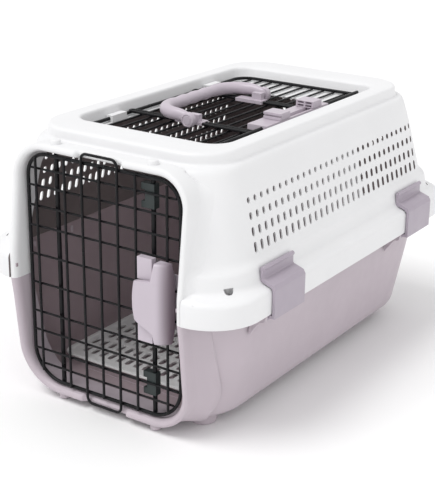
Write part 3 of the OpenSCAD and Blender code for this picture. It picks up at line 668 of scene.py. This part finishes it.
# ---------------------------------------------------------------- the front latch
def latch_cover():
    """The bowed cover over the front latch: a front and a back skin over the same grid of x and z. Its
    left edge bows out in the middle and steps right beside each finger tab, its right side curls
    back on a quarter turn, and its edges fall away on a small radius."""
    x0, x1, front, back = cover_low[0] + 4, cover_high[0] - 5.5, cover_low[1], cover_high[1]
    mid, half = (cover_low[2] + cover_high[2]) / 2, 44.0
    v = np.sin(np.linspace(-np.pi / 2, np.pi / 2, 141))[:, None]
    u = (0.5 - 0.5 * np.cos(np.linspace(0, np.pi, 45)))[None, :]
    dz = half * v
    bow = x0 + 3.0 * np.clip(np.abs(dz) / 24, 0, 1) ** 2
    step = np.where(dz > 0, ease(dz, 21, 24.5), ease(-dz, 20, 34))
    left = bow + step * (x0 + 22.4 + 0.22 * (np.abs(dz) - 23) - bow)
    right = x1 - 4.0 * np.clip(np.abs(dz) / half, 0, 1) ** 4
    x = left + (right - left) * u
    z = mid + dz + 0 * u
    edge = np.minimum(np.minimum(x - left, right - x), half - np.abs(dz))
    fall = 3.0 * (1 - np.sqrt(1 - (1 - np.clip(edge / 3.0, 0, 1)) ** 2))
    curl = np.clip((x - (right - 17)) / 17, 0, 1)
    y = front + 0.3 + fall + 14.2 * (1 - np.sqrt(1 - 0.985 * curl ** 1.7)) + 1.0 * (dz / half) ** 2
    y = np.minimum(y, back - 0.6)
    under_tab = ease(np.abs(dz), 11.5, 13) * ease(-x, -(cover_low[0] + 27.5), -(cover_low[0] + 26.2))
    floor = back - under_tab * (back - (front + 5.8))
    floor = np.maximum(floor + 0 * x, y + 0.5)
    rows, cols = x.shape
    points = np.vstack([np.stack([x, y, z], -1).reshape(-1, 3), np.stack([x, floor, z], -1).reshape(-1, 3)])
    grid = quads(rows, cols, ring=False)
    ring = np.concatenate([np.arange(cols), np.arange(1, rows) * cols + cols - 1,
                           (rows - 1) * cols + np.arange(cols - 2, -1, -1),
                           np.arange(rows - 2, 0, -1) * cols])
    side = np.stack([ring, np.roll(ring, -1), np.roll(ring, -1) + rows * cols, ring + rows * cols], -1)
    piece = put("latch_cover_shell", points, np.vstack([grid, grid + rows * cols, side]).tolist())
    smooth(piece, 50)
    # Painted shade: the curl attribute rises from 0 to 1 over the cover's last 15 mm on the right, where the
    # colour darkens to the plum shadow.
    shade = piece.data.attributes.new("curl", "FLOAT", "POINT")
    spot = np.array([v.co[0] for v in piece.data.vertices]) / MM
    shade.data.foreach_set("value", ease(spot, x1 - 15, x1 - 1).astype(np.float32))
    paint(piece, curl_painted_shade(latch_lilac))
    return settle(piece, "front_door", "latch_lilac", "door_latch_cover")


latch_cover()


# ---------------------------------------------------------------- the carry handle
def carry_handle():
    """A C-shaped bail: the grip, a round bend at each end and two arms that flatten towards their
    hubs, with a turned hub disc at each pivot."""
    pivot = np.array([0, (pin_low[1] + pin_high[1]) / 2, (pin_low[2] + pin_high[2]) / 2])
    grip_x, grip_z = handle_low[0] + 7.5, handle_high[2] - 7.5
    arm_y = (handle_high[1] - handle_low[1]) / 2 - 7.5
    bend = 32.0
    t = np.linspace(0, np.pi / 2, 16)
    arm_x = np.linspace(5.5, grip_x + bend + 2, 12)
    x = np.concatenate([arm_x, grip_x + bend - bend * np.sin(t)])
    y = np.concatenate([np.full(12, arm_y), arm_y - bend + bend * np.cos(t)])
    z = grip_z - 3.0 * ease(x, -16, 2)
    grip_y = np.linspace(arm_y - bend, 0, 28)[1:-1]
    x, y = np.append(x, np.full(26, grip_x)), np.append(y, grip_y)
    z = np.append(z, np.full(26, grip_z))
    half = np.stack([x, y, z], -1)
    path = np.vstack([half, (half * (1, -1, 1))[::-1]]) + (0, pivot[1], 0)
    hold = 1 - 0.055 * (1 - np.cos(2 * np.pi * y / 22)) * ease(arm_y - bend + 8 - np.abs(y), 0, 8)
    shrink = np.concatenate([np.sqrt(1 - np.linspace(0.97, 0, 5) ** 2), np.ones(len(half) - 5)])
    swell = ease(-half[:, 0], -2, 30)
    wide = shrink * (4.6 + 2.7 * swell)
    tall = shrink * (6.4 + 0.9 * swell)
    wide, tall = wide * hold, tall * hold
    wide, tall = np.concatenate([wide, wide[::-1]]), np.concatenate([tall, tall[::-1]])
    pieces = [sweep("bail", path, wide, tall)]
    for s in (-1, 1):
        out = arm_y + 5.6
        disc = [(0, -7.2), (7.6, -7.2), (8.4, -6.4), (8.4, -1.4), (7.6, -0.4), (6.4, 0), (5.9, -0.7),
                (5.2, -0.7), (4.7, 0), (0, 0.1)]
        disc = [(r, s * (out + h)) for r, h in disc]
        pieces.append(lathe("hub", disc, (pivot[0], pivot[1], pivot[2] + 0.2), axis="y"))
    handle = join("carry_handle_bail", pieces)
    smooth(handle, 42)
    return settle(handle, "handle", "latch_lilac", "carry_handle")


carry_handle()


# ---------------------------------------------------------------- mat, clips and small mouldings
def floor_mat():
    """The perforated mat: a plate with a raised, rounded rim and staggered slots that run lengthwise."""
    low, high = cad("floor_mat")
    hx, hy, top = high[0], high[1], high[2]
    control = [(20, 90, 4, top - WALL, 0, 0), (hx, hy, 16, top - WALL, 0, 1),
               (hx, hy, 16, top, 0, 1.6), (hx - 5, hy - 5, 12, top, 0, 1),
               (hx - 6.5, hy - 6.5, 11, top - 0.9, 0, 1), (20, 90, 4, top - 0.9, 0, 0)]
    mat = loft("perforated_mat", rounded(control, False, 40), False, 10, 4)
    pitch_x, pitch_y = hx / 9, hy / 8
    i, j = np.meshgrid(np.arange(-8, 9), np.arange(-7, 8))
    x = (i + np.where(j % 2 == 0, 0.25, -0.25)) * pitch_x
    y = j * pitch_y
    keep = (np.abs(x) < hx - 11) & (np.abs(y) < hy - 17)
    places = np.stack([x[keep], y[keep]], -1)
    carve(mat, prisms("slots", places, stadium(6.2, 17.5, 3)[None], top - 10, top + 5, "z"))
    smooth(mat)
    settle(mat, "floor_mat", "mat_grey", "floor_mat")
    bar = np.array([(-3, -hy + 45), (3, -hy + 45), (3, hy - 45), (-3, hy - 45)])[None]
    rails = [prisms("rail", (s * hx * 0.5, 0), bar, low[2], top - WALL, "z") for s in (-1, 1)]
    rails = join("mat_rails", rails)
    bevel(rails, 0.8)
    settle(rails, "floor_mat", "mat_grey")


floor_mat()


def finger_grips():
    """Cutters for the top latch: a groove across the front tab, and two rows of pockets in the rear one."""
    front, rear = cad("top_latch_front_tab"), cad("top_latch_rear_tab")
    box = np.array([(-1, -1), (1, -1), (1, 1), (-1, 1)]) / 2
    mid_x = (front[0][0] + front[1][0]) / 2
    groove = prisms("groove", (mid_x, front[1][2] - 3.6), (box * (40, 1.8))[None],
                    front[0][1] - 1, front[0][1] + 2.2, "y")
    spots = [(mid_x + sx * 5.2, rear[1][2] - 3.9 + sz * 1.75) for sx in (-1, 1) for sz in (-1, 1)]
    pockets = prisms("pockets", spots, (box * (8.2, 2.3))[None], rear[0][1] - 1, rear[0][1] + 5, "y")
    return {"top_latch_front_tab": groove, "top_latch_rear_tab": pockets}


def soften(node, width, segments=2, angle=32):
    """A copy of a CAD moulding with its points merged and its edges rounded, in the node's place."""
    source = frame["nodes"][node]
    mesh = source.data.copy()
    mesh.name = node + "_moulding"
    piece = bpy.data.objects.new(node + "_moulding", mesh)
    bpy.context.scene.collection.objects.link(piece)
    merge(piece, 2e-6, outward=False)
    work = bmesh.new()
    work.from_mesh(mesh)
    bmesh.ops.dissolve_limit(work, angle_limit=math.radians(1), verts=work.verts, edges=work.edges)
    work.to_mesh(mesh)
    work.free()
    if node in grips:
        carve(piece, grips[node])
    slot = slots[node]
    paint(piece, FINISH[slot])
    bevel(piece, width, segments, angle)
    return settle(piece, source["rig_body"], slot, node)


slots = {part["node"]: part["material_slot"] for part in frame["record"]["subparts"]}
SOFT = {"side_clip_front_right": 0.9, "side_clip_rear_right": 0.9, "side_clip_front_left": 0.9,
        "side_clip_rear_left": 0.9, "door_latch_upper_tab": 1.6, "door_latch_lower_tab": 1.6,
        "door_latch_carrier": 0.5, "handle_brackets": 0.9, "top_latch_base": 1.1, "top_latch_front_tab": 0.9,
        "top_latch_rear_tab": 0.7, "top_hinge_clips": 1.0, "corner_bolts": 0.35, "door_rod_guides": 1.1}
grips = finger_grips()
for node, width in SOFT.items():
    soften(node, width)
for node, item in frame["nodes"].items():
    paint(item, wire if node in ("top_latch_front_rod", "top_latch_rear_rod") else FINISH[slots[node]])


def hairpins():
    """The round bends that join each pair of cross wires at the top door's hinge side: half a ring
    whose point is the pair's middle plus R(cos a, sin a) plus the wire's own circle."""
    low, high = cad("top_cross_wires")
    centre_y = (low[1] + high[1]) / 2
    bends = []
    for s in (-1, 1):
        a = np.linspace(np.pi / 2, 3 * np.pi / 2, 15)
        ring = np.stack([low[0] + PAIR_GAP * np.cos(a), centre_y + s * PAIR_SPAN / 2 + PAIR_GAP * np.sin(a),
                         np.full(len(a), (low[2] + high[2]) / 2)], -1)
        bends.append(sweep("bend", ring, np.full(len(a), PAIR_R), np.full(len(a), PAIR_R), 14))
    bends = join("cross_wire_bends", bends)
    smooth(bends)
    settle(bends, "top_door", "wire_black")


hairpins()


# ---------------------------------------------------------------- floor, light and camera
def studio():
    """A pale floor and backdrop, a broad soft key from above and the left, and a weak fill."""
    flat = bpy.data.meshes.new("floor")
    r = 30.0
    flat.from_pydata([(-r, -r, 0), (r, -r, 0), (r, r, 0), (-r, r, 0)], [], [(0, 1, 2, 3)])
    floor = bpy.data.objects.new("floor", flat)
    bpy.context.scene.collection.objects.link(floor)
    material, tree, shader, where = nodes_of("studio_floor")
    cloudy = noise(tree, where, 1.5, 2)
    tint(tree, shader, spread(tree, cloudy.outputs["Fac"], 0, 1), (0.93, 0.93, 0.93), (0.95, 0.95, 0.95))
    shader.inputs["Roughness"].default_value = 0.9
    shader.inputs["Specular IOR Level"].default_value = 0.1
    paint(floor, material)
    world = bpy.data.worlds.new("studio")
    world.use_nodes = True
    world.node_tree.nodes["Background"].inputs["Color"].default_value = (1, 1, 1, 1)
    world.node_tree.nodes["Background"].inputs["Strength"].default_value = 0.80
    bpy.context.scene.world = world
    suns = (("key", (-0.45, -0.75, 1.5), 1.35, 32), ("fill", (1.5, -0.3, 0.9), 0.2, 60))
    for name, place, strength, spread_deg in suns:
        lamp = bpy.data.lights.new(name, "SUN")
        lamp.energy = strength
        lamp.angle = math.radians(spread_deg)
        light = bpy.data.objects.new(name, lamp)
        light.location = place
        light.rotation_euler = (-Vector(place)).to_track_quat("-Z", "Y").to_euler()
        bpy.context.scene.collection.objects.link(light)


def camera():
    """The camera, from its turn and tilt round a target point, its roll and its distance."""
    azimuth, tilt, roll, distance = (math.radians(34.124), math.radians(20.282), math.radians(0.600), 1.4879)
    target = Vector((-0.01917, 0, 0.11799))
    back = Vector((math.sin(azimuth) * math.cos(tilt), -math.cos(azimuth) * math.cos(tilt), math.sin(tilt)))
    right = Vector((0, 0, 1)).cross(back).normalized()
    up = back.cross(right)
    right, up = (right * math.cos(roll) + up * math.sin(roll), up * math.cos(roll) - right * math.sin(roll))
    lens = bpy.data.cameras.new("camera")
    lens.lens = 88.75
    lens.sensor_fit = "VERTICAL"
    lens.sensor_height = 36
    view = bpy.data.objects.new("camera", lens)
    turn = Matrix((right, up, back)).transposed().to_4x4()
    view.matrix_world = Matrix.Translation(target + back * distance) @ turn
    bpy.context.scene.collection.objects.link(view)
    bpy.context.scene.camera = view


studio()
camera()
bpy.context.scene.view_settings.view_transform = "Standard"
bpy.context.view_layer.update()
